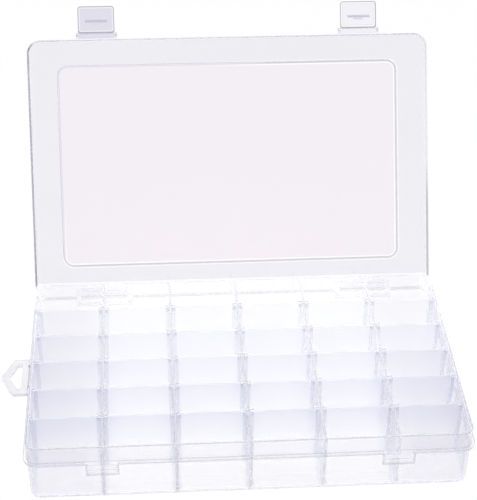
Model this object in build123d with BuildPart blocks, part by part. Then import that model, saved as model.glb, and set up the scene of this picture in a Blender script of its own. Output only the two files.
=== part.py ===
# Clear compartment box with a hinged lid, 36 cells and lift-out dividers.
# X runs left to right, Y runs front to back and Z is up. The origin is on the table under the middle of
# the tray. The lid stands open, as it does on its stop, with both latches straight out.
from build123d import *
import math
import os

os.makedirs("parts", exist_ok=True)

# Tray shell, in millimetres
tray_w = 270.0
tray_d = 165.0
tray_h = 42.2
tray_corner_r = 7.0
wall_t = 1.5
wall_draft = 1.4
floor_t = 1.5
bottom_round_r = 4.0

# Cells and their fixed walls
columns = 6
rows = 6
web_t = 1.5
cell_edge_cut = 1.8

# Dividers and the ribs that guide them
divider_t = 1.3
divider_end_play = 0.2
divider_seat_gap = 0.1
divider_rim_gap = 0.2
divider_corner_cut = 2.6
divider_edge_cut = 0.3
slot_play = 0.15
rib_out = 2.6
rib_t = 1.0

# Flange round the tray, which the lid's skirt comes down on
flange_out = 2.0
flange_t = 1.0
flange_top_z = 31.0
frame_t = 1.1

# Lid
lid_gap = 0.5
lid_over_hinge = 8.7
lid_seat_gap = 0.3
lid_head_gap = 0.6
lid_t = 1.5
skirt_t = 1.4
lid_draft = 1.0
lid_edge_r = 1.6
lid_open = 118.4

# Stacking panel on the lid and the recess that takes it under the tray
panel_w = 233.6
panel_d = 137.9
panel_y = 2.6
panel_r = 6.5
panel_rise = 0.8
panel_wall = 1.0
panel_edge_cut = 0.4
stack_play = 0.6
stack_head_gap = 0.15

# Hinges at the back, on the outermost fixed walls
hinge_back = 5.9
hinge_z = 31.1
hinge_bar_r = 1.5
hinge_fit = 0.1
hinge_frame_w = 38.4
hinge_frame_h = 6.6
hinge_lug_t = 3.0
hinge_lug_r = 2.7
knuckle_r = 2.9
knuckle_play = 0.4
lug_notch_h = 3.5
lug_notch_play = 0.4
knuckle_mouth = 2.3
knuckle_mouth_angle = 225.0
stop_t = 1.6
stop_gap = 0.1

# Latches and their catches at the front, on the outermost fixed walls
latch_w = 24.6
latch_barrel_r = 2.0
latch_front_gap = 0.6
latch_axis_up = 2.8
latch_pin_r = 0.7
latch_pin_fit = 0.1
latch_lug_t = 1.4
latch_lug_r = 2.1
latch_side_play = 0.2
latch_rest = 90.0
flap_l = 19.7
flap_t = 1.4
flap_back = 0.2
flap_corner_r = 2.0
flap_border_w = 1.0
flap_border_h = 0.7
hook_ridge_w = 15.2
hook_ridge_root_t = 1.7
hook_ridge_tip_t = 0.75
hook_ridge_clear = 0.25
hook_step_w = 6.8
hook_step_h = 1.4
hook_step_out = 0.8
catch_frame_w = 20.0
catch_frame_h = 9.2
catch_nose_z = 25.2
catch_nose_h = 2.8
catch_nose_out = 1.5
catch_overlap = 1.1

# Hanging hook on the left side
hook_axis_out = 1.6
hook_axis_z = 29.6
hook_t = 2.2
hook_half_w = 16.9
hook_band = 5.1
hook_bar_in = 1.8
hook_bar_w = 3.2
hook_shoulder = 10.4
hook_reach = 18.1
hook_tip_band = 5.0
hook_corner_r = 1.8
hook_lug_r = 1.4
hook_lug_play = 0.3
hook_pin_r = 0.6
hook_pin_fit = 0.1
hook_pin_l = 2.0
hook_pin_end_play = 0.4

# Places worked out from the sizes above
tan_draft = math.tan(math.radians(wall_draft))
stack_recess = panel_rise + stack_head_gap
recess_out = panel_wall + stack_play
cell_floor_z = floor_t + stack_recess
cell_h = tray_h - cell_floor_z
column_pitch = (tray_w - 2 * wall_t + web_t) / columns
row_pitch = (tray_d - 2 * wall_t) / rows
wall_bite = wall_t / 2
side_floor_x = tray_w / 2 - wall_t - cell_h * tan_draft
last_web_x = column_pitch * (columns / 2 - 1)
last_web_face_x = last_web_x + web_t / 2
hinge_x = last_web_x
latch_x = last_web_x
slot_w = divider_t + 2 * slot_play
rib_shift = (slot_w + rib_t) / 2
divider_w = side_floor_x - last_web_face_x - 2 * divider_end_play
divider_bottom_z = cell_floor_z + divider_seat_gap
divider_h = tray_h - divider_rim_gap - divider_bottom_z

lid_bottom_z = flange_top_z + lid_seat_gap
lid_inner_z = tray_h + lid_head_gap
lid_top_z = lid_inner_z + lid_t
lid_w = tray_w + 2 * (lid_gap + skirt_t)
lid_d = tray_d + 2 * (lid_gap + skirt_t)
lid_corner_r = tray_corner_r + lid_gap + skirt_t
lid_depth = lid_d + lid_over_hinge
lid_y = lid_over_hinge / 2
skirt_front_y = -(lid_d - skirt_t) / 2
skirt_back_y = lid_over_hinge - skirt_front_y

hinge_y = tray_d / 2 + hinge_back
hinge_line = Axis((0, hinge_y, hinge_z), (1, 0, 0))
hinge_span = hinge_frame_w - 2 * hinge_lug_t
hinge_lug_mid = (hinge_span + hinge_lug_t) / 2
lug_notch_w = hinge_lug_t + 2 * lug_notch_play
knuckle_w = hinge_span - 2 * knuckle_play
wall_back_y = tray_d / 2 - (tray_h - hinge_z) * tan_draft
stop_reach = hinge_y - wall_back_y - stop_gap

latch_y = -(lid_d / 2 + latch_front_gap + latch_barrel_r)
latch_z = flange_top_z + latch_axis_up
latch_line = Axis((0, latch_y, latch_z), (1, 0, 0))
latch_lug_in = latch_w / 2 + latch_side_play
catch_face_y = -(tray_d / 2 - (tray_h - catch_nose_z) * tan_draft)
catch_nose_y = catch_face_y - catch_nose_out
hook_ridge_top_z = catch_nose_z - hook_ridge_clear
hook_ridge_tip_y = catch_nose_y + catch_overlap

frame_depth = flange_out + wall_bite
flange_cut_d = 2 * frame_depth
wall_back_in_y = tray_d / 2 - wall_bite

hook_axis_x = -(tray_w / 2 + hook_axis_out)
hook_arm_y = hook_half_w - hook_band / 2
hook_bar_x = hook_axis_x - hook_bar_in
hook_tip_x = hook_axis_x - hook_reach
hook_shoulder_x = hook_axis_x - hook_shoulder
hook_slope = (hook_reach - hook_shoulder) / hook_half_w
hole_half_w = hook_half_w - hook_band
hook_lug_half = hole_half_w - hook_lug_play
hole_bar_x = hook_bar_x - hook_bar_w
hole_tip_x = hook_tip_x + hook_tip_band
hole_shoulder_x = hole_tip_x + hook_slope * hole_half_w

# Trough between two fixed walls, with the guide ribs left standing
rim = Plane.XY.offset(tray_h)
with BuildPart() as troughs:
    with BuildSketch(rim):
        RectangleRounded(tray_w - 2 * wall_t, tray_d - 2 * wall_t, tray_corner_r - wall_t)
    extrude(amount=-cell_h, taper=wall_draft)
    with BuildSketch(rim):
        with GridLocations(column_pitch, 0, columns - 1, 1):
            Rectangle(web_t, tray_d)
    extrude(amount=-cell_h, mode=Mode.SUBTRACT)
    chamfer(troughs.faces().filter_by(Axis.Z).group_by(Axis.Z)[0].edges(), cell_edge_cut)
    with BuildSketch(rim):
        for shift in (-rib_shift, rib_shift):
            with Locations((0, shift)):
                with GridLocations(column_pitch, row_pitch, columns - 1, rows - 1):
                    Rectangle(web_t + 2 * rib_out, rib_t)
                with GridLocations(2 * side_floor_x, row_pitch, 2, rows - 1):
                    Rectangle(2 * rib_out, rib_t)
    extrude(amount=-cell_h, mode=Mode.SUBTRACT)


# Tray
with BuildPart() as tray:
    with BuildSketch(rim):
        RectangleRounded(tray_w, tray_d, tray_corner_r)
    extrude(amount=-tray_h, taper=wall_draft)
    fillet(tray.faces().sort_by(Axis.Z)[0].edges(), bottom_round_r)
    add(troughs.part, mode=Mode.SUBTRACT)

    # Recess under the floor for the stacking panel of the box below
    with BuildSketch(Plane.XY):
        with Locations((0, panel_y)):
            RectangleRounded(panel_w + 2 * recess_out, panel_d + 2 * recess_out, panel_r + recess_out)
    extrude(amount=stack_recess, mode=Mode.SUBTRACT)

    # Flange, open at the catches, the hinges and the two arms of the hook
    with BuildSketch(Plane.XY.offset(flange_top_z)):
        RectangleRounded(tray_w + 2 * flange_out, tray_d + 2 * flange_out, tray_corner_r + flange_out)
        RectangleRounded(tray_w - wall_t, tray_d - wall_t, tray_corner_r - wall_bite, mode=Mode.SUBTRACT)
        with Locations((-latch_x, -tray_d / 2), (latch_x, -tray_d / 2)):
            Rectangle(catch_frame_w - 2 * frame_t, flange_cut_d, mode=Mode.SUBTRACT)
        with Locations((-hinge_x, tray_d / 2), (hinge_x, tray_d / 2)):
            Rectangle(hinge_span, flange_cut_d, mode=Mode.SUBTRACT)
        with Locations((-tray_w / 2, -hook_arm_y), (-tray_w / 2, hook_arm_y)):
            Rectangle(flange_cut_d, hook_band + 2 * hook_lug_play, mode=Mode.SUBTRACT)
    extrude(amount=-flange_t)

    # Stepped frames that carry the flange down round the catches and the hinges
    for plane, centre_x, width, height in (
        (Plane.XZ.offset(tray_d / 2 + flange_out), latch_x, catch_frame_w, catch_frame_h),
        (Plane.XZ.offset(-wall_back_in_y), hinge_x, hinge_frame_w, hinge_frame_h),
    ):
        with BuildSketch(plane):
            for x in (-centre_x, centre_x):
                with Locations((x, flange_top_z)):
                    Rectangle(width, height, align=(Align.CENTER, Align.MAX))
                    Rectangle(width - 2 * frame_t, height - frame_t, align=(Align.CENTER, Align.MAX),
                              mode=Mode.SUBTRACT)
        extrude(amount=-frame_depth)

    # Catch noses that the latches hook under
    for x in (-latch_x, latch_x):
        with BuildSketch(Plane.YZ.offset(x - catch_frame_w / 2 + frame_t)):
            Polygon((catch_face_y + wall_bite, catch_nose_z), (catch_nose_y, catch_nose_z),
                    (catch_nose_y, catch_nose_z + frame_t / 2), (catch_face_y, catch_nose_z + catch_nose_h),
                    (catch_face_y + wall_bite, catch_nose_z + catch_nose_h), align=None)
        extrude(amount=catch_frame_w - 2 * frame_t)

    # Hinge lugs and the bar moulded between each pair
    for x in (-hinge_x, hinge_x):
        for lug_x in (x - hinge_frame_w / 2, x + hinge_span / 2):
            with BuildSketch(Plane.YZ.offset(lug_x)):
                Polygon((wall_back_y - wall_bite, flange_top_z), (hinge_y, flange_top_z),
                        (hinge_y, hinge_z - hinge_lug_r),
                        (wall_back_y - wall_bite, flange_top_z - hinge_frame_h), align=None)
                with Locations((hinge_y, hinge_z)):
                    Circle(hinge_lug_r)
            extrude(amount=hinge_lug_t)
        with BuildSketch(Plane.YZ.offset(x - hinge_span / 2)):
            with Locations((hinge_y, hinge_z)):
                Circle(hinge_bar_r)
        extrude(amount=hinge_span)

    # Lug that the hanging hook clips on, bored at both ends for its stub pins
    with BuildSketch(Plane.XZ.offset(-hook_lug_half)):
        with Locations((hook_axis_x, hook_axis_z)):
            Circle(hook_lug_r)
            Rectangle(hook_axis_out + wall_t, 2 * hook_lug_r, align=(Align.MIN, Align.CENTER))
    extrude(amount=2 * hook_lug_half)
    for side in (-1, 1):
        with BuildSketch(Plane.XZ.offset(side * hook_lug_half)):
            with Locations((hook_axis_x, hook_axis_z)):
                Circle(hook_pin_r + hook_pin_fit)
        extrude(amount=-side * (hook_pin_l + hook_pin_end_play), mode=Mode.SUBTRACT)

tray.part.label = "tray"
export_step(tray.part, "parts/tray.step")


# Lid, modelled closed on the tray and then turned to stand open
with BuildPart() as lid:
    with BuildSketch(Plane.XY.offset(lid_bottom_z)):
        with Locations((0, lid_y)):
            RectangleRounded(lid_w, lid_depth, lid_corner_r)
    extrude(amount=lid_top_z - lid_bottom_z, taper=lid_draft)
    fillet(lid.faces().sort_by(Axis.Z)[-1].edges(), lid_edge_r)
    with BuildSketch(Plane.XY.offset(lid_top_z)):
        with Locations((0, panel_y)):
            RectangleRounded(panel_w + 2 * panel_wall, panel_d + 2 * panel_wall, panel_r + panel_wall)
    extrude(amount=panel_rise)
    chamfer(lid.faces().sort_by(Axis.Z)[-1].edges(), panel_edge_cut)
    with BuildSketch(Plane.XY.offset(lid_bottom_z)):
        with Locations((0, lid_y)):
            RectangleRounded(lid_w - 2 * skirt_t, lid_depth - 2 * skirt_t, lid_corner_r - skirt_t)
    extrude(amount=lid_inner_z - lid_bottom_z, taper=lid_draft, mode=Mode.SUBTRACT)
    with BuildSketch(Plane.XY.offset(lid_inner_z)):
        with Locations((0, panel_y)):
            RectangleRounded(panel_w, panel_d, panel_r)
    extrude(amount=panel_rise, mode=Mode.SUBTRACT)

    # Notches in the skirt that let it pass under the hinge lugs as the lid opens
    with BuildSketch(Plane.XZ.offset(-skirt_back_y - skirt_t)):
        for x in (-hinge_x, hinge_x):
            for shift in (-hinge_lug_mid, hinge_lug_mid):
                with Locations((x + shift, lid_bottom_z)):
                    Rectangle(lug_notch_w, lug_notch_h, align=(Align.CENTER, Align.MIN))
    extrude(amount=2 * skirt_t, mode=Mode.SUBTRACT)

    # Snap-on knuckles, open on one side, each with the tongue that stops the lid against the tray
    for x in (-hinge_x, hinge_x):
        with BuildSketch(Plane.YZ.offset(x - knuckle_w / 2)):
            with Locations((hinge_y, hinge_z)):
                Circle(knuckle_r)
            Polygon((hinge_y, lid_bottom_z), (skirt_back_y, lid_bottom_z),
                    (skirt_back_y, hinge_z + knuckle_r + lid_t), (hinge_y, hinge_z + knuckle_r), align=None)
            with Locations(Location((hinge_y, hinge_z), lid_open - 180)):
                Rectangle(stop_reach, stop_t, align=(Align.MIN, Align.CENTER))
            with Locations((hinge_y, hinge_z)):
                Circle(hinge_bar_r + hinge_fit, mode=Mode.SUBTRACT)
            with Locations(Location((hinge_y, hinge_z), knuckle_mouth_angle)):
                Rectangle(stop_reach, knuckle_mouth, align=(Align.MIN, Align.CENTER), mode=Mode.SUBTRACT)
        extrude(amount=knuckle_w)

    # Lugs on the front edge, a pair for each latch
    for x in (-latch_x, latch_x):
        for lug_x in (x - latch_lug_in - latch_lug_t, x + latch_lug_in):
            with BuildSketch(Plane.YZ.offset(lug_x)):
                with Locations((latch_y, latch_z)):
                    Circle(latch_lug_r)
                    Rectangle(skirt_front_y - latch_y, 2 * latch_lug_r, align=(Align.MIN, Align.CENTER))
                    Circle(latch_pin_r + latch_pin_fit, mode=Mode.SUBTRACT)
            extrude(amount=latch_lug_t)

lid.part = lid.part.rotate(hinge_line, -lid_open)
lid.part.label = "lid"
export_step(lid.part, "parts/lid.step")


# Latches, modelled hanging closed and then turned straight out from the open lid
for name, x in (("latch_left", -latch_x), ("latch_right", latch_x)):
    with BuildPart() as latch:
        with BuildSketch(Plane.YZ.offset(x - latch_w / 2)):
            with Locations((latch_y, latch_z)):
                Circle(latch_barrel_r)
        extrude(amount=latch_w)
        with BuildSketch(Plane.YZ.offset(x - latch_lug_in - latch_lug_t)):
            with Locations((latch_y, latch_z)):
                Circle(latch_pin_r)
        extrude(amount=2 * (latch_lug_in + latch_lug_t))

        # Flap with a raised border on its inner face
        flap_front = Plane.XZ.offset(-latch_y + flap_back)
        with BuildSketch(flap_front) as flap:
            with Locations((x, latch_z)):
                Rectangle(latch_w, flap_l, align=(Align.CENTER, Align.MAX))
            fillet(flap.vertices().group_by(Axis.Y)[0], flap_corner_r)
        extrude(amount=-flap_t)
        with BuildSketch(flap_front.offset(-flap_t)) as border:
            with Locations((x, latch_z - latch_barrel_r)):
                Rectangle(latch_w, flap_l - latch_barrel_r, align=(Align.CENTER, Align.MAX))
            fillet(border.vertices().group_by(Axis.Y)[0], flap_corner_r)
            offset(amount=-flap_border_w, mode=Mode.SUBTRACT)
        extrude(amount=-flap_border_h)

        # Ridge that hooks under the catch, with a short step above it
        flap_in_y = latch_y - flap_back + flap_t
        with BuildSketch(Plane.YZ.offset(x - hook_ridge_w / 2)):
            Polygon((flap_in_y, hook_ridge_top_z), (hook_ridge_tip_y, hook_ridge_top_z),
                    (hook_ridge_tip_y, hook_ridge_top_z - hook_ridge_tip_t),
                    (flap_in_y, hook_ridge_top_z - hook_ridge_root_t), align=None)
        extrude(amount=hook_ridge_w)
        with BuildSketch(Plane.YZ.offset(x - hook_step_w / 2)):
            with Locations((flap_in_y, hook_ridge_top_z)):
                Rectangle(hook_step_out, hook_step_h, align=(Align.MIN, Align.MIN))
        extrude(amount=hook_step_w)

    latch.part = latch.part.rotate(latch_line, -latch_rest).rotate(hinge_line, -lid_open)
    latch.part.label = name
    export_step(latch.part, f"parts/{name}.step")


# Hanging hook, lying level beside the tray
with BuildPart() as hang_hook:
    with BuildSketch(Plane.XY.offset(hook_axis_z - hook_t / 2)) as loop:
        Polygon((hook_bar_x, -hook_half_w), (hook_bar_x, hook_half_w), (hook_shoulder_x, hook_half_w),
                (hook_tip_x, 0), (hook_shoulder_x, -hook_half_w), align=None)
        fillet(loop.vertices().group_by(Axis.X)[0] + loop.vertices().group_by(Axis.X)[1], hook_corner_r)
        Polygon((hole_bar_x, -hole_half_w), (hole_bar_x, hole_half_w), (hole_shoulder_x, hole_half_w),
                (hole_tip_x, 0), (hole_shoulder_x, -hole_half_w), align=None, mode=Mode.SUBTRACT)
        for side in (-1, 1):
            with Locations((hook_bar_x, side * hook_arm_y)):
                Rectangle(hook_bar_in, hook_band, align=(Align.MIN, Align.CENTER))
    extrude(amount=hook_t)
    for side in (-1, 1):
        with BuildSketch(Plane.XZ.offset(side * hole_half_w)):
            with Locations((hook_axis_x, hook_axis_z)):
                Circle(hook_t / 2)
        extrude(amount=side * hook_band)
        with BuildSketch(Plane.XZ.offset(side * hole_half_w)):
            with Locations((hook_axis_x, hook_axis_z)):
                Circle(hook_pin_r)
        extrude(amount=-side * (hook_pin_l + hook_lug_play))

hang_hook.part.label = "hang_hook"
export_step(hang_hook.part, "parts/hang_hook.step")


# Dividers, five in each column, all the same
for column in range(columns):
    column_x = (column - (columns - 1) / 2) * column_pitch
    if abs(column_x) > last_web_face_x:
        column_x = math.copysign((last_web_face_x + side_floor_x) / 2, column_x)
    for row in range(1, rows):
        row_y = (rows / 2 - row) * row_pitch
        with BuildPart() as divider:
            with BuildSketch(Plane.XZ.offset(-row_y - divider_t / 2)) as outline:
                with Locations((column_x, divider_bottom_z)):
                    Rectangle(divider_w, divider_h, align=(Align.CENTER, Align.MIN))
                chamfer(outline.vertices().group_by(Axis.Y)[0], divider_corner_cut)
            extrude(amount=divider_t)
            chamfer(divider.faces().sort_by(Axis.Z)[-1].edges().filter_by(Axis.X), divider_edge_cut)
        name = f"divider_column{column + 1}_row{row}"
        divider.part.label = name
        export_step(divider.part, f"parts/{name}.step")
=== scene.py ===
# Looks for the clear compartment box: its plastics, the floor, the lamps and the camera.
import math

import bpy
from mathutils import Matrix, Vector

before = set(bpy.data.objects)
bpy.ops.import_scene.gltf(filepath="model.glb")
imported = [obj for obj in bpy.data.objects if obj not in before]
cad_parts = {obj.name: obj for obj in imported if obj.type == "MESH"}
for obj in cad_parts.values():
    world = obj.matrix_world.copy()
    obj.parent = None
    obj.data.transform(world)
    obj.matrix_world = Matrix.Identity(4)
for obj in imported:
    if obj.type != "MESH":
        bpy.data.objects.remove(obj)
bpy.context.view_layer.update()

# Camera that the photograph was taken with, fitted to the corners of the tray, the lid and the dividers.
# Its place is in metres, its lens and sensor are in millimetres
CAMERA_PLACE = Vector((-0.05698, -0.73942, 0.64163))
CAMERA_YAW = math.radians(4.14)
CAMERA_DOWN = math.radians(34.885)
CAMERA_ROLL = math.radians(0.722)
CAMERA_LENS = 106.64
SENSOR = 36.0

# Lamps, sky and floor
KEY_LAMP_PLACE = (-0.9, -0.6, 1.4)
KEY_LAMP_SIZE = 0.9
KEY_LAMP_POWER = 7.0
FILL_LAMP_PLACE = (1.1, -0.8, 1.1)
FILL_LAMP_SIZE = 1.0
FILL_LAMP_POWER = 4.0
LAMP_AIM = (0, 0, 0.05)
SKY_TINT = (0.97, 0.97, 1.00, 1.0)
SKY_STRENGTH = 0.85
SKY_WHITE_SHARE = 1.0
PAPER_TINT = (0.97, 0.97, 0.97, 1.0)
PAPER_ROUGHNESS = 0.9
PAPER_WHITE_SHARE = 0.90
FLOOR_REACH = 6.0
FLOOR_DROP = 0.0002
WHITE = (1.0, 1.0, 1.0, 1.0)

# Tints of the clear plastics. Each face that light passes takes the square root of its tint
TRAY_TINT = (0.965, 0.964, 0.974, 1.0)
# Tray: painted shade on the outer columns, and painted light on the rear of the middle columns
OUTER_TRAY_SHADE_TINT = (0.932, 0.928, 0.953, 1.0)
REAR_TRAY_LIGHT_TINT = WHITE
# Painted shade beside the webs where the ribs stand, on the inner side walls, along the webs, on the rib
# caps and at the web ends on the front wall, deeper towards the front
REAR_STRIP_SHADE_TINT = (0.965, 0.965, 0.978, 1.0)
STRIP_SHADE_TINT = (0.920, 0.920, 0.950, 1.0)
SIDE_WALL_SHADE_TINT = (0.850, 0.850, 0.910, 1.0)
WEB_SHADE_TINT = (0.950, 0.950, 0.965, 1.0)
FRONT_WEB_SHADE_TINT = (0.790, 0.790, 0.840, 1.0)
RIB_CAP_SHADE_TINT = (0.860, 0.860, 0.900, 1.0)
WEB_END_SHADE_TINT = (0.750, 0.740, 0.755, 1.0)
# Painted shade lines along the top and the tip of each catch nose
NOSE_TOP_SHADE_TINT = (0.780, 0.780, 0.810, 1.0)
NOSE_TIP_SHADE_TINT = (0.600, 0.600, 0.640, 1.0)
# Painted shade lines on the wall tops, also on the latch step, and along the front edges of the rim, the
# flange and the seam below it
TOP_AND_STEP_SHADE_TINT = (0.720, 0.720, 0.780, 1.0)
RIM_EDGE_SHADE_TINT = (0.600, 0.600, 0.640, 1.0)
FLANGE_SHADE_TINT = (0.560, 0.560, 0.610, 1.0)
SEAM_SHADE_TINT = (0.620, 0.620, 0.655, 1.0)
DIVIDER_TINT = (0.973, 0.975, 0.987, 1.0)
# Dividers: painted shade in the outer columns and towards their tops
LEFT_DIVIDER_SHADE_TINT = (0.895, 0.893, 0.930, 1.0)
RIGHT_DIVIDER_SHADE_TINT = (0.880, 0.878, 0.920, 1.0)
DIVIDER_TOP_SHADE_TINT = (0.868, 0.876, 0.942, 1.0)
LID_TINT = (0.866, 0.858, 0.898, 1.0)
LID_PANEL_TINT = (0.904, 0.860, 0.906, 1.0)
# Painted highlight and painted shade along the lid panel's border, lit on one side and shaded on the other;
# the shade tint also draws a painted shade line inside each latch flap
BORDER_GLINT_TINT = WHITE
LIT_BORDER_TINT = (0.640, 0.630, 0.670, 1.0)
BORDER_SHADE_TINT = (0.760, 0.750, 0.780, 1.0)
# Lid skirt painted paler, painted shade along its foot at both sides and near the hinge, and the lid's rear
# painted lighter
SKIRT_LIGHT_TINT = (0.960, 0.958, 0.980, 1.0)
LEFT_FOOT_SHADE_TINT = (0.360, 0.360, 0.390, 1.0)
RIGHT_FOOT_SHADE_TINT = (0.880, 0.880, 0.895, 1.0)
HINGE_FOOT_SHADE_TINT = (0.380, 0.380, 0.410, 1.0)
LID_REAR_LIGHT_TINT = (0.995, 0.995, 1.000, 1.0)
# Latches: one tint painted as shaded on the left and as lit on the right, body and border
LEFT_LATCH_SHADED_TINT = (0.755, 0.740, 0.840, 1.0)
RIGHT_LATCH_LIT_TINT = (0.900, 0.890, 0.940, 1.0)
LEFT_BORDER_SHADED_TINT = (0.860, 0.855, 0.930, 1.0)
RIGHT_BORDER_LIT_TINT = (0.985, 0.980, 0.995, 1.0)
# Painted shade lines along the latch flap's edges and on its ridge
LATCH_EDGE_SHADE_TINT = (0.400, 0.400, 0.450, 1.0)
RIDGE_SHADE_TINT = (0.560, 0.550, 0.640, 1.0)
HOOK_TINT = (0.872, 0.866, 0.880, 1.0)
HOOK_BARREL_TINT = (0.830, 0.845, 0.905, 1.0)
# Painted shade line along the hook barrel's edge, and painted shade on the hook's sides
HOOK_EDGE_SHADE_TINT = (0.560, 0.570, 0.640, 1.0)
HOOK_SIDE_SHADE_TINT = (0.780, 0.780, 0.810, 1.0)
SPECK_TINT = (0.450, 0.430, 0.500, 1.0)
DEEP_TINT = (0.300, 0.300, 0.520, 1.0)

# What all the plastics share
PLASTIC_IOR = 1.49
HAZE_SHARE = 0.99
GLOSS_SPREAD = 0.05
WAVE_STRENGTH = 0.25

# How far a mask without an end of its own reaches, and how softly a fine line ends, in metres
FAR = 1.0
SHARP = 0.0001
CRISP = 0.0002

# Places on the tray in metres. Two numbers are an end and its fade, three are two ends and their fade.
# Webs are the fixed walls between columns, and strips are the bands beside them where the ribs stand
TRAY_HALF = (0.1350, 0.0825, 0.0)
TRAY_CORNER = 0.0070
RIM_HEIGHT = 0.0422
WALL_SLOPE = 0.02444
COLUMN_PITCH = 0.04475
ROW_PITCH = 0.0270
OUTER_COLUMN_X = 0.0800
OUTER_COLUMN_FADE = 0.0200
OUTER_FADE_Y = (0.1000, 0.1000)
REAR_Y = (0.0720, 0.0040)
INNER_FACE = (-0.0017, CRISP)
STRIP_HALF = (0.0034, 0.0004)
FRONT_STRIP_Y = (0.0600, 0.1200)
SIDE_WALL_FACE = (-0.0018, -0.0012, SHARP)
SIDE_WALL_X = (0.1280, 0.0010)
WEB_HALF = (0.0011, CRISP)
FRONT_WEB_Y = (0.0300, 0.0900)
RIB_CAP_HALF = (0.0020, SHARP)
RIB_CAP_Z = (0.0392, 0.0003)
FRONT_WALL_Y = (0.0, 0.0010)
WEB_END_FACE = (-0.0004, 0.0003, SHARP)
NOSE_HALF = (0.0089, SHARP)
NOSE_TOP_OUT = (-0.0003, 0.0004, SHARP)
NOSE_TOP_Z = (0.0276, 0.0283, SHARP)
NOSE_TIP_OUT = (0.0012, 0.0018, SHARP)
NOSE_TIP_Z = (0.0251, 0.0259, SHARP)
RIM_TOP_Z = (RIM_HEIGHT - SHARP, SHARP)
WALL_TOP_HALF = (0.0009, SHARP)
WALL_TOP_END = (-0.0016, SHARP)
WALL_TOP_FADE_Y = (0.0900, 0.1200)
FRONT_EDGES_Y = (0.0700, 0.0005)
RIM_EDGE = (-0.0010, 0.0008, CRISP)
FLANGE_EDGE = (0.00165, 0.0026, CRISP)
SEAM_EDGE = (-0.0012, 0.0004, CRISP)
SEAM_Z = (0.0309, 0.0316, SHARP)

# Places on the dividers
DIVIDER_COLUMN_FADE = 0.0300
LEFT_DIVIDER_FADE_Y = (0.2000, 0.3000)
RIGHT_DIVIDER_FADE_Y = (0.0550, 0.1200)
DIVIDER_TOP_Z = (0.0180, 0.0240)
DIVIDER_TOP_FADE_Y = (0.0650, 0.1250)

# Places on the lid, as if it were shut
HINGE_Y = 0.0884
HINGE_Z = 0.0311
LID_OPEN = math.radians(118.4)
LID_HALF = (0.1369, 0.08875, 0.0)
LID_MID_Y = 0.00435
LID_CORNER = 0.0089
PANEL_HALF = (0.1168, 0.06895, 0.0)
PANEL_MID_Y = 0.0026
PANEL_CORNER = 0.0065
PANEL_FACE = (-0.0006, CRISP)
BORDER_LIT_FROM = -0.0900
BORDER_LIT_FADE = 0.0500
BORDER_GLINT = (-0.0017, 0.0015, CRISP)
LIT_BORDER = (-0.0007, 0.0006, CRISP)
SHADED_BORDER = (-0.0006, 0.0003, CRISP)
SKIRT_FACE = (-0.0016, 0.0004, CRISP)
FOOT_Z = (0.0317, CRISP)
FOOT_SIDE_X = 0.1330
FOOT_SIDE_FADE = 0.0005
HINGE_FOOT_Y = (0.0, 0.0300)
LID_REAR_Y = (0.0830 - PANEL_MID_Y, 0.0008)

# Places on the latches, as if the lid were shut, and on the hook
LATCH_X = 0.0895
FLAP_HALF = (0.0123, 0.00885, 0.0)
FLAP_MID_Y = -0.09785
FLAP_CORNER = 0.0020
FLAP_BORDER = (-0.0015, 0.0, SHARP)
FLAP_EDGE = (-0.0006, 0.0004, CRISP)
FLAP_INNER_EDGE = (-0.0018, -0.0014, SHARP)
RIDGE_Y = (-0.09760 - FLAP_MID_Y, -0.09580 - FLAP_MID_Y, SHARP)
RIDGE_HALF = (0.0076, SHARP)
STEP_Y = (-0.09580 - FLAP_MID_Y, -0.09440 - FLAP_MID_Y, SHARP)
STEP_HALF = (0.0034, SHARP)
HOOK_BARREL_X = (-0.1376, 0.0, CRISP)
HOOK_EDGE_X = (-0.1379, -0.1373, SHARP)
HOOK_SIDE_Z = (0.0286, 0.0305, SHARP)


def fed(tree, socket, value):
    """Links a socket to another one, or sets its plain number or tint."""
    if isinstance(value, bpy.types.NodeSocket):
        tree.links.new(value, socket)
    else:
        socket.default_value = value


def number(tree, operation, *values):
    """Math node on sockets and plain numbers."""
    step = tree.nodes.new("ShaderNodeMath")
    step.operation = operation
    for socket, value in zip(step.inputs, values):
        fed(tree, socket, value)
    return step.outputs["Value"]


def vector(tree, operation, *values):
    """Vector Math node on sockets."""
    step = tree.nodes.new("ShaderNodeVectorMath")
    step.operation = operation
    for socket, value in zip(step.inputs, values):
        fed(tree, socket, value)
    return step.outputs["Value" if operation == "LENGTH" else "Vector"]


def held(tree, value):
    """A number held between 0 and 1."""
    clamp = tree.nodes.new("ShaderNodeClamp")
    tree.links.new(value, clamp.inputs["Value"])
    return clamp.outputs["Result"]


def split(tree, place):
    """The X, Y and Z of a place."""
    parts = tree.nodes.new("ShaderNodeSeparateXYZ")
    tree.links.new(place, parts.inputs["Vector"])
    return parts.outputs


def new_group(name, sockets):
    """Empty shader node group with named inputs and outputs, and its inner ends."""
    group = bpy.data.node_groups.new(name, "ShaderNodeTree")
    for label, side, kind, value in sockets:
        socket = group.interface.new_socket(name=label, in_out=side, socket_type=kind)
        if value is not None:
            socket.default_value = value
    inside, outside = group.nodes.new("NodeGroupInput"), group.nodes.new("NodeGroupOutput")
    return group, inside.outputs, outside.inputs


def placed_group(tree, group, settings):
    """Outputs of a group that is placed with its own values."""
    placed = tree.nodes.new("ShaderNodeGroup")
    placed.node_tree = group
    for label, value in settings.items():
        fed(tree, placed.inputs[label], value)
    return placed.outputs


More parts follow.
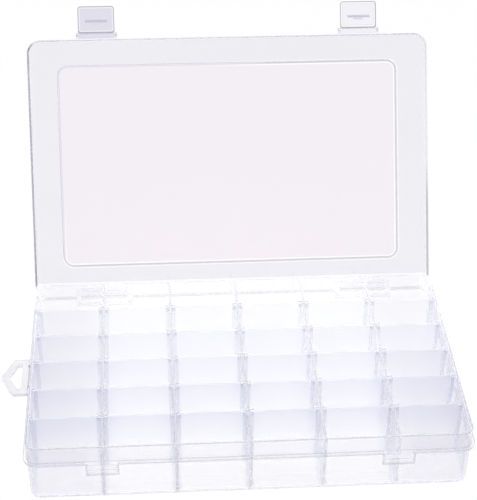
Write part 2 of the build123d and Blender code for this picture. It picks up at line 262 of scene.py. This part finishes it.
def make_flow_marks():
    """Faint waves that the melt leaves in a moulded wall, as a height and a patchy mask."""
    group, given, results = new_group("FlowMarks", (
        ("Scale", "INPUT", "NodeSocketFloat", 30.0),
        ("Stretch", "INPUT", "NodeSocketFloat", 0.35),
        ("Height", "OUTPUT", "NodeSocketFloat", None),
        ("Patches", "OUTPUT", "NodeSocketFloat", None),
    ))
    nodes, links = group.nodes, group.links
    place = nodes.new("ShaderNodeTexCoord")
    stretch = nodes.new("ShaderNodeCombineXYZ")
    stretch.inputs["Y"].default_value = 1.0
    stretch.inputs["Z"].default_value = 1.0
    links.new(given["Stretch"], stretch.inputs["X"])
    waves = nodes.new("ShaderNodeTexNoise")
    waves.inputs["Detail"].default_value = 3.0
    waves.inputs["Roughness"].default_value = 0.45
    links.new(vector(group, "MULTIPLY", place.outputs["Object"], stretch.outputs["Vector"]),
              waves.inputs["Vector"])
    links.new(given["Scale"], waves.inputs["Scale"])
    patches = nodes.new("ShaderNodeMapRange")
    patches.inputs["From Min"].default_value = 0.35
    patches.inputs["From Max"].default_value = 0.65
    links.new(waves.outputs["Fac"], patches.inputs["Value"])
    links.new(waves.outputs["Fac"], results["Height"])
    links.new(patches.outputs["Result"], results["Patches"])
    return group


def make_specks():
    """Tiny pits and grains that moulding leaves, thinly scattered, as a mask."""
    group, given, results = new_group("Specks", (
        ("Scale", "INPUT", "NodeSocketFloat", 55.0),
        ("Size", "INPUT", "NodeSocketFloat", 0.05),
        ("Share", "INPUT", "NodeSocketFloat", 0.02),
        ("Mask", "OUTPUT", "NodeSocketFloat", None),
    ))
    nodes, links = group.nodes, group.links
    place = nodes.new("ShaderNodeTexCoord")
    cells = nodes.new("ShaderNodeTexVoronoi")
    links.new(place.outputs["Object"], cells.inputs["Vector"])
    links.new(given["Scale"], cells.inputs["Scale"])
    pick = nodes.new("ShaderNodeSeparateColor")
    links.new(cells.outputs["Color"], pick.inputs["Color"])
    dots = number(group, "LESS_THAN", cells.outputs["Distance"], given["Size"])
    chosen = number(group, "LESS_THAN", pick.outputs["Red"], given["Share"])
    links.new(number(group, "MULTIPLY", dots, chosen), results["Mask"])
    return group


def make_rounded_outline():
    """How far a point lies outside a rectangle with rounded corners, seen along Z."""
    group, given, results = new_group("RoundedOutline", (
        ("Point", "INPUT", "NodeSocketVector", None),
        ("Half Size", "INPUT", "NodeSocketVector", None),
        ("Corner", "INPUT", "NodeSocketFloat", 0.005),
        ("Distance", "OUTPUT", "NodeSocketFloat", None),
    ))
    nodes, links = group.nodes, group.links
    corner = nodes.new("ShaderNodeCombineXYZ")
    for axis in ("X", "Y"):
        links.new(given["Corner"], corner.inputs[axis])
    core = vector(group, "SUBTRACT", given["Half Size"], corner.outputs["Vector"])
    past = split(group, vector(group, "SUBTRACT", vector(group, "ABSOLUTE", given["Point"]), core))
    outer = nodes.new("ShaderNodeCombineXYZ")
    for axis in ("X", "Y"):
        links.new(number(group, "MAXIMUM", past[axis], 0.0), outer.inputs[axis])
    beyond = vector(group, "LENGTH", outer.outputs["Vector"])
    within = number(group, "MINIMUM", number(group, "MAXIMUM", past["X"], past["Y"]), 0.0)
    distance = number(group, "SUBTRACT", number(group, "ADD", beyond, within), given["Corner"])
    links.new(distance, results["Distance"])
    return group


def make_band():
    """Mask that is full between two values and fades away at both ends."""
    group, given, results = new_group("Band", (
        ("Value", "INPUT", "NodeSocketFloat", 0.0),
        ("Low", "INPUT", "NodeSocketFloat", 0.0),
        ("High", "INPUT", "NodeSocketFloat", 1.0),
        ("Soft", "INPUT", "NodeSocketFloat", 0.0002),
        ("Mask", "OUTPUT", "NodeSocketFloat", None),
    ))
    sides = []
    for upper, lower in (("Value", "Low"), ("High", "Value")):
        gap = number(group, "SUBTRACT", given[upper], given[lower])
        sides.append(held(group, number(group, "DIVIDE", gap, given["Soft"])))
    group.links.new(number(group, "MULTIPLY", *sides), results["Mask"])
    return group


flow_marks = make_flow_marks()
specks = make_specks()
rounded_outline = make_rounded_outline()
band = make_band()


def banded(tree, value, low, high, fade):
    """Mask that is full between two ends."""
    settings = {"Value": value, "Low": low, "High": high, "Soft": fade}
    return placed_group(tree, band, settings)["Mask"]


def up_to(tree, value, end, fade):
    """Mask that is full below an end."""
    return banded(tree, value, -FAR, end, fade)


def on_from(tree, value, start, fade):
    """Mask that is full above a start."""
    return banded(tree, value, start, FAR, fade)


def overlap(tree, mask, *others):
    """Where all the masks are full at once."""
    for other in others:
        mask = number(tree, "MULTIPLY", mask, other)
    return mask


def shaded(tree, colour, mask, tint):
    """Lays a tint over a colour where the mask is full."""
    layer = tree.nodes.new("ShaderNodeMix")
    layer.data_type = "RGBA"
    layer.inputs["B"].default_value = tint
    tree.links.new(mask, layer.inputs["Factor"])
    tree.links.new(colour, layer.inputs["A"])
    return layer.outputs["Result"]


def outline_distance(tree, point, half, corner):
    """How far a point lies outside a rounded outline of its own size."""
    settings = {"Point": point, "Half Size": half, "Corner": corner}
    return placed_group(tree, rounded_outline, settings)["Distance"]


def object_place(tree):
    """Place on the piece, whole and split."""
    place = tree.nodes.new("ShaderNodeTexCoord").outputs["Object"]
    return place, split(tree, place)


def closed_lid_place(tree, middle):
    """Place on the lid or a latch as if the lid were shut, measured from a middle point."""
    hinge = Vector((0, HINGE_Y, HINGE_Z))
    turn = Matrix.Rotation(LID_OPEN, 3, "X")
    closed = tree.nodes.new("ShaderNodeMapping")
    closed.inputs["Rotation"].default_value = (LID_OPEN, 0, 0)
    closed.inputs["Location"].default_value = hinge - turn @ hinge - Vector(middle)
    place = tree.nodes.new("ShaderNodeTexCoord").outputs["Object"]
    tree.links.new(place, closed.inputs["Vector"])
    return closed.outputs["Vector"], split(tree, closed.outputs["Vector"])


# Each of these gives a mask and a tint for every layer, and a later layer lies over an earlier one. Most
# layers are painted shade, and a few are painted light, laid on by place
def tray_light_and_shade_layers(tree):
    """Tray: painted shade on the outer columns, strips, side walls, webs, rib caps, catches and the edges
    of the rim, the flange and the seam, and painted light on the rear.
    """
    place, parts = object_place(tree)
    from_middle = number(tree, "ABSOLUTE", parts["X"])
    from_web = number(tree, "PINGPONG", parts["X"], COLUMN_PITCH / 2)
    from_row = number(tree, "PINGPONG", parts["Y"], ROW_PITCH / 2)
    from_latch = number(tree, "ABSOLUTE", number(tree, "SUBTRACT", from_middle, LATCH_X))
    past_rim = outline_distance(tree, place, TRAY_HALF, TRAY_CORNER)
    lean = number(tree, "MULTIPLY_ADD", parts["Z"], -WALL_SLOPE, WALL_SLOPE * RIM_HEIGHT)
    past_wall = number(tree, "ADD", past_rim, lean)
    before_rear = up_to(tree, parts["Y"], *REAR_Y)
    front_wall = up_to(tree, parts["Y"], *FRONT_WALL_Y)

    # Painted shade on the outer columns, and painted light on the rear
    outer = on_from(tree, from_middle, OUTER_COLUMN_X, OUTER_COLUMN_FADE)
    yield overlap(tree, outer, up_to(tree, parts["Y"], *OUTER_FADE_Y)), OUTER_TRAY_SHADE_TINT
    middle = up_to(tree, from_middle, OUTER_COLUMN_X + OUTER_COLUMN_FADE, OUTER_COLUMN_FADE)
    yield overlap(tree, on_from(tree, parts["Y"], *REAR_Y), middle), REAR_TRAY_LIGHT_TINT

    # Painted shade along the strips, side walls, webs, rib caps and web ends
    inside = up_to(tree, past_wall, *INNER_FACE)
    cells = overlap(tree, inside, before_rear)
    strips = overlap(tree, cells, up_to(tree, from_web, *STRIP_HALF))
    yield strips, REAR_STRIP_SHADE_TINT
    yield overlap(tree, strips, up_to(tree, parts["Y"], *FRONT_STRIP_Y)), STRIP_SHADE_TINT
    side_wall = overlap(tree, banded(tree, past_wall, *SIDE_WALL_FACE),
                        on_from(tree, from_middle, *SIDE_WALL_X))
    yield overlap(tree, side_wall, before_rear), SIDE_WALL_SHADE_TINT
    webs = up_to(tree, from_web, *WEB_HALF)
    yield overlap(tree, cells, webs), WEB_SHADE_TINT
    yield overlap(tree, inside, webs, up_to(tree, parts["Y"], *FRONT_WEB_Y)), FRONT_WEB_SHADE_TINT
    caps = overlap(tree, up_to(tree, from_row, *RIB_CAP_HALF), on_from(tree, parts["Z"], *RIB_CAP_Z))
    yield overlap(tree, strips, caps), RIB_CAP_SHADE_TINT
    yield overlap(tree, webs, banded(tree, past_wall, *WEB_END_FACE), front_wall), WEB_END_SHADE_TINT

    # Painted shade lines along the top and the tip of each catch
    catch = overlap(tree, up_to(tree, from_latch, *NOSE_HALF), front_wall)
    for out, height, tint in ((NOSE_TOP_OUT, NOSE_TOP_Z, NOSE_TOP_SHADE_TINT),
                              (NOSE_TIP_OUT, NOSE_TIP_Z, NOSE_TIP_SHADE_TINT)):
        line = overlap(tree, banded(tree, past_wall, *out), banded(tree, parts["Z"], *height))
        yield overlap(tree, catch, line), tint

    # Painted shade lines along the wall tops and the front edges of the rim, the flange and the seam
    rim = on_from(tree, parts["Z"], *RIM_TOP_Z)
    wall_tops = overlap(tree, up_to(tree, from_web, *WALL_TOP_HALF), up_to(tree, past_rim, *WALL_TOP_END))
    yield overlap(tree, rim, wall_tops, up_to(tree, parts["Y"], *WALL_TOP_FADE_Y)), TOP_AND_STEP_SHADE_TINT
    front = up_to(tree, parts["Y"], *FRONT_EDGES_Y)
    yield overlap(tree, banded(tree, past_rim, *RIM_EDGE), rim, front), RIM_EDGE_SHADE_TINT
    yield overlap(tree, banded(tree, past_rim, *FLANGE_EDGE), front), FLANGE_SHADE_TINT
    seam = overlap(tree, banded(tree, past_rim, *SEAM_EDGE), banded(tree, parts["Z"], *SEAM_Z))
    yield overlap(tree, seam, front), SEAM_SHADE_TINT


def divider_shade_layers(tree):
    """Dividers: painted shade in the outer columns, and towards their tops and the front of the box."""
    _, parts = object_place(tree)
    left = up_to(tree, parts["X"], -OUTER_COLUMN_X, DIVIDER_COLUMN_FADE)
    yield overlap(tree, left, up_to(tree, parts["Y"], *LEFT_DIVIDER_FADE_Y)), LEFT_DIVIDER_SHADE_TINT
    right = on_from(tree, parts["X"], OUTER_COLUMN_X, DIVIDER_COLUMN_FADE)
    yield overlap(tree, right, up_to(tree, parts["Y"], *RIGHT_DIVIDER_FADE_Y)), RIGHT_DIVIDER_SHADE_TINT
    tops = on_from(tree, parts["Z"], *DIVIDER_TOP_Z)
    yield overlap(tree, tops, up_to(tree, parts["Y"], *DIVIDER_TOP_FADE_Y)), DIVIDER_TOP_SHADE_TINT


def lid_tint_light_and_shade_layers(tree):
    """Lid: rosier raised panel, a painted highlight and painted shade on its border, the skirt painted
    paler with painted shade along its foot, and the rear painted lighter.
    """
    place, parts = closed_lid_place(tree, (0, PANEL_MID_Y, 0))
    past_panel = outline_distance(tree, place, PANEL_HALF, PANEL_CORNER)
    yield up_to(tree, past_panel, *PANEL_FACE), LID_PANEL_TINT
    # Painted highlight and painted shade along the panel's border, lit on one side of a slant and shaded on
    # the other
    slant = number(tree, "ADD", parts["X"], parts["Y"])
    lit = on_from(tree, slant, BORDER_LIT_FROM, BORDER_LIT_FADE)
    yield overlap(tree, banded(tree, past_panel, *BORDER_GLINT), lit), BORDER_GLINT_TINT
    yield overlap(tree, banded(tree, past_panel, *LIT_BORDER), lit), LIT_BORDER_TINT
    unlit = up_to(tree, slant, BORDER_LIT_FROM + BORDER_LIT_FADE, BORDER_LIT_FADE)
    yield overlap(tree, banded(tree, past_panel, *SHADED_BORDER), unlit), BORDER_SHADE_TINT

    # Skirt painted paler, with painted shade along its foot, and the rear painted lighter
    whole, _ = closed_lid_place(tree, (0, LID_MID_Y, 0))
    skirt = banded(tree, outline_distance(tree, whole, LID_HALF, LID_CORNER), *SKIRT_FACE)
    yield skirt, SKIRT_LIGHT_TINT
    foot = overlap(tree, skirt, up_to(tree, parts["Z"], *FOOT_Z))
    yield overlap(tree, foot, up_to(tree, parts["X"], -FOOT_SIDE_X, FOOT_SIDE_FADE)), LEFT_FOOT_SHADE_TINT
    right_foot = overlap(tree, foot, on_from(tree, parts["X"], FOOT_SIDE_X, FOOT_SIDE_FADE))
    yield right_foot, RIGHT_FOOT_SHADE_TINT
    yield overlap(tree, right_foot, on_from(tree, parts["Y"], *HINGE_FOOT_Y)), HINGE_FOOT_SHADE_TINT
    yield on_from(tree, parts["Y"], *LID_REAR_Y), LID_REAR_LIGHT_TINT


def latch_light_and_shade_layers(tree, side, painted_border_tint):
    """Latch: raised border round the flap in its given painted tint, with painted shade along its edges, on
    the ridge and on the step.
    """
    place, parts = closed_lid_place(tree, (side * LATCH_X, FLAP_MID_Y, 0))
    past_flap = outline_distance(tree, place, FLAP_HALF, FLAP_CORNER)
    yield banded(tree, past_flap, *FLAP_BORDER), painted_border_tint
    # Painted shade lines along the flap's edges and inside its border, and on the ridge and the step
    yield banded(tree, past_flap, *FLAP_EDGE), LATCH_EDGE_SHADE_TINT
    yield banded(tree, past_flap, *FLAP_INNER_EDGE), BORDER_SHADE_TINT
    from_middle = number(tree, "ABSOLUTE", parts["X"])
    ridge = overlap(tree, up_to(tree, from_middle, *RIDGE_HALF), banded(tree, parts["Y"], *RIDGE_Y))
    yield ridge, RIDGE_SHADE_TINT
    step = overlap(tree, up_to(tree, from_middle, *STEP_HALF), banded(tree, parts["Y"], *STEP_Y))
    yield step, TOP_AND_STEP_SHADE_TINT


def left_latch_shade_layers(tree):
    """Left latch, painted as the shaded one, with its border painted greyer."""
    return latch_light_and_shade_layers(tree, -1, LEFT_BORDER_SHADED_TINT)


def right_latch_light_and_shade_layers(tree):
    """Right latch, painted as the lit one, with its border painted paler."""
    return latch_light_and_shade_layers(tree, 1, RIGHT_BORDER_LIT_TINT)


def hook_tint_and_shade_layers(tree):
    """Hook: bluer barrel with a painted shade line along its edge, and sides painted a little darker than
    the flat face as shade.
    """
    _, parts = object_place(tree)
    yield banded(tree, parts["X"], *HOOK_BARREL_X), HOOK_BARREL_TINT
    yield banded(tree, parts["X"], *HOOK_EDGE_X), HOOK_EDGE_SHADE_TINT
    yield banded(tree, parts["Z"], *HOOK_SIDE_Z), HOOK_SIDE_SHADE_TINT


def moulded_plastic(name, tint, tint_and_shade_layers, gloss, wave_scale, wave_depth, density=2.2, clearness=1.0):
    """Clear or milky moulded plastic that lets the lamps' light through."""
    material = bpy.data.materials.new(name)
    material.use_nodes = True
    tree = material.node_tree
    nodes, links = tree.nodes, tree.links
    nodes.clear()
    waves = placed_group(tree, flow_marks, {"Scale": wave_scale})
    dots = placed_group(tree, specks, {})

    haze = nodes.new("ShaderNodeMix")
    haze.data_type = "RGBA"
    haze.inputs["A"].default_value = tint
    haze.inputs["B"].default_value = tuple(c * HAZE_SHARE for c in tint[:3]) + (1.0,)
    links.new(waves["Patches"], haze.inputs["Factor"])
    colour = haze.outputs["Result"]
    # The piece's own tints, and painted light and shade, laid over the plastic's tint
    for mask, layer_tint in tint_and_shade_layers(tree):
        colour = shaded(tree, colour, mask, layer_tint)
    colour = shaded(tree, colour, dots["Mask"], SPECK_TINT)

    rough = nodes.new("ShaderNodeMapRange")
    rough.inputs["To Min"].default_value = gloss
    rough.inputs["To Max"].default_value = gloss + GLOSS_SPREAD
    links.new(waves["Patches"], rough.inputs["Value"])
    bump = nodes.new("ShaderNodeBump")
    bump.inputs["Strength"].default_value = WAVE_STRENGTH
    bump.inputs["Distance"].default_value = wave_depth
    links.new(waves["Height"], bump.inputs["Height"])

    body = nodes.new("ShaderNodeBsdfPrincipled")
    body.inputs["IOR"].default_value = PLASTIC_IOR
    body.inputs["Transmission Weight"].default_value = clearness
    links.new(colour, body.inputs["Base Color"])
    links.new(rough.outputs["Result"], body.inputs["Roughness"])
    links.new(bump.outputs["Normal"], body.inputs["Normal"])

    light = nodes.new("ShaderNodeLightPath")
    through = nodes.new("ShaderNodeBsdfTransparent")
    through.inputs["Color"].default_value = tuple(math.sqrt(c) for c in tint[:3]) + (1.0,)
    both = nodes.new("ShaderNodeMixShader")
    links.new(light.outputs["Is Shadow Ray"], both.inputs["Fac"])
    links.new(body.outputs["BSDF"], both.inputs[1])
    links.new(through.outputs["BSDF"], both.inputs[2])
    depth = nodes.new("ShaderNodeVolumeAbsorption")
    depth.inputs["Color"].default_value = DEEP_TINT
    depth.inputs["Density"].default_value = density
    out = nodes.new("ShaderNodeOutputMaterial")
    links.new(both.outputs["Shader"], out.inputs["Surface"])
    links.new(depth.outputs["Volume"], out.inputs["Volume"])
    return material


FINISHES = {
    "tray": moulded_plastic(
        "tray_polypropylene", TRAY_TINT, tray_light_and_shade_layers,
        gloss=0.14, wave_scale=28.0, wave_depth=0.0001, density=1.8),
    "divider": moulded_plastic(
        "divider_polypropylene", DIVIDER_TINT, divider_shade_layers,
        gloss=0.30, wave_scale=40.0, wave_depth=0.0003, density=0.6),
    "lid": moulded_plastic(
        "lid_polypropylene", LID_TINT, lid_tint_light_and_shade_layers,
        gloss=0.10, wave_scale=28.0, wave_depth=0.0001),
    "latch_left": moulded_plastic(
        "left_latch_shaded_polypropylene", LEFT_LATCH_SHADED_TINT, left_latch_shade_layers,
        gloss=0.10, wave_scale=40.0, wave_depth=0.0002),
    "latch_right": moulded_plastic(
        "right_latch_lit_polypropylene", RIGHT_LATCH_LIT_TINT, right_latch_light_and_shade_layers,
        gloss=0.10, wave_scale=40.0, wave_depth=0.0002),
    "hang_hook": moulded_plastic(
        "hook_polypropylene", HOOK_TINT, hook_tint_and_shade_layers,
        gloss=0.22, wave_scale=60.0, wave_depth=0.0002, clearness=0.35),
}
for name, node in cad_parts.items():
    for slot in node.material_slots:
        slot.material = FINISHES["divider" if name.startswith("divider") else name]

# Enough bounces for light to come out of the many clear walls, and no filter that loses it in them
scene = bpy.context.scene
scene.view_settings.view_transform = "Standard"
scene.cycles.max_bounces = 80
scene.cycles.glossy_bounces = 80
scene.cycles.transmission_bounces = 80
scene.cycles.transparent_max_bounces = 48
scene.cycles.blur_glossy = 0.0


def pale_to_sight(tree, plain, white_kind, out, share):
    """Mixes white light into what the eye meets directly, by reflection or through clear plastic."""
    light = tree.nodes.new("ShaderNodeLightPath").outputs
    seen = number(tree, "MAXIMUM", light["Is Camera Ray"], light["Is Glossy Ray"])
    seen = number(tree, "MAXIMUM", seen, light["Is Transmission Ray"])
    white = tree.nodes.new(white_kind)
    white.inputs["Color"].default_value = WHITE
    both = tree.nodes.new("ShaderNodeMixShader")
    tree.links.new(number(tree, "MULTIPLY", seen, share), both.inputs["Fac"])
    tree.links.new(plain, both.inputs[1])
    tree.links.new(white.outputs[0], both.inputs[2])
    tree.links.new(both.outputs["Shader"], out.inputs["Surface"])


# Sky and floor are left out of direct light sampling, because their white isn't the light that they give
world = bpy.data.worlds.new("studio")
scene.world = world
world.use_nodes = True
world.cycles.sampling_method = "NONE"
sky = world.node_tree.nodes["Background"]
sky.inputs["Color"].default_value = SKY_TINT
sky.inputs["Strength"].default_value = SKY_STRENGTH
pale_to_sight(world.node_tree, sky.outputs["Background"], "ShaderNodeBackground",
              world.node_tree.nodes["World Output"], SKY_WHITE_SHARE)

floor_mesh = bpy.data.meshes.new("floor")
corners = [(-FLOOR_REACH, -FLOOR_REACH, 0), (FLOOR_REACH, -FLOOR_REACH, 0),
           (FLOOR_REACH, FLOOR_REACH, 0), (-FLOOR_REACH, FLOOR_REACH, 0)]
floor_mesh.from_pydata(corners, [], [(0, 1, 2, 3)])
floor = bpy.data.objects.new("floor", floor_mesh)
floor.location.z = -FLOOR_DROP
scene.collection.objects.link(floor)
paper = bpy.data.materials.new("white_paper")
paper.use_nodes = True
paper.cycles.emission_sampling = "NONE"
sheet = paper.node_tree.nodes["Principled BSDF"]
sheet.inputs["Base Color"].default_value = PAPER_TINT
sheet.inputs["Roughness"].default_value = PAPER_ROUGHNESS
pale_to_sight(paper.node_tree, sheet.outputs["BSDF"], "ShaderNodeEmission",
              paper.node_tree.nodes["Material Output"], PAPER_WHITE_SHARE)
floor_mesh.materials.append(paper)


def soft_lamp(name, place, size, power):
    """Large square lamp that looks at the box."""
    data = bpy.data.lights.new(name, "AREA")
    data.size = size
    data.energy = power
    lamp = bpy.data.objects.new(name, data)
    lamp.location = place
    lamp.rotation_mode = "QUATERNION"
    lamp.rotation_quaternion = (Vector(LAMP_AIM) - Vector(place)).to_track_quat("-Z", "Y")
    scene.collection.objects.link(lamp)


soft_lamp("key_lamp", KEY_LAMP_PLACE, KEY_LAMP_SIZE, KEY_LAMP_POWER)
soft_lamp("fill_lamp", FILL_LAMP_PLACE, FILL_LAMP_SIZE, FILL_LAMP_POWER)

# The camera looks forward and down, then rolls about its own line of sight
forward = Vector((math.sin(CAMERA_YAW) * math.cos(CAMERA_DOWN),
                  math.cos(CAMERA_YAW) * math.cos(CAMERA_DOWN), -math.sin(CAMERA_DOWN)))
level = Vector((math.cos(CAMERA_YAW), -math.sin(CAMERA_YAW), 0))
upright = level.cross(forward)
right = math.cos(CAMERA_ROLL) * level + math.sin(CAMERA_ROLL) * upright
up = math.cos(CAMERA_ROLL) * upright - math.sin(CAMERA_ROLL) * level
camera_data = bpy.data.cameras.new("camera")
camera_data.lens = CAMERA_LENS
camera_data.sensor_fit = "VERTICAL"
camera_data.sensor_height = SENSOR
camera_data.sensor_width = SENSOR
camera = bpy.data.objects.new("camera", camera_data)
camera.matrix_world = Matrix.Translation(CAMERA_PLACE) @ Matrix((right, up, -forward)).transposed().to_4x4()
scene.collection.objects.link(camera)
scene.camera = camera
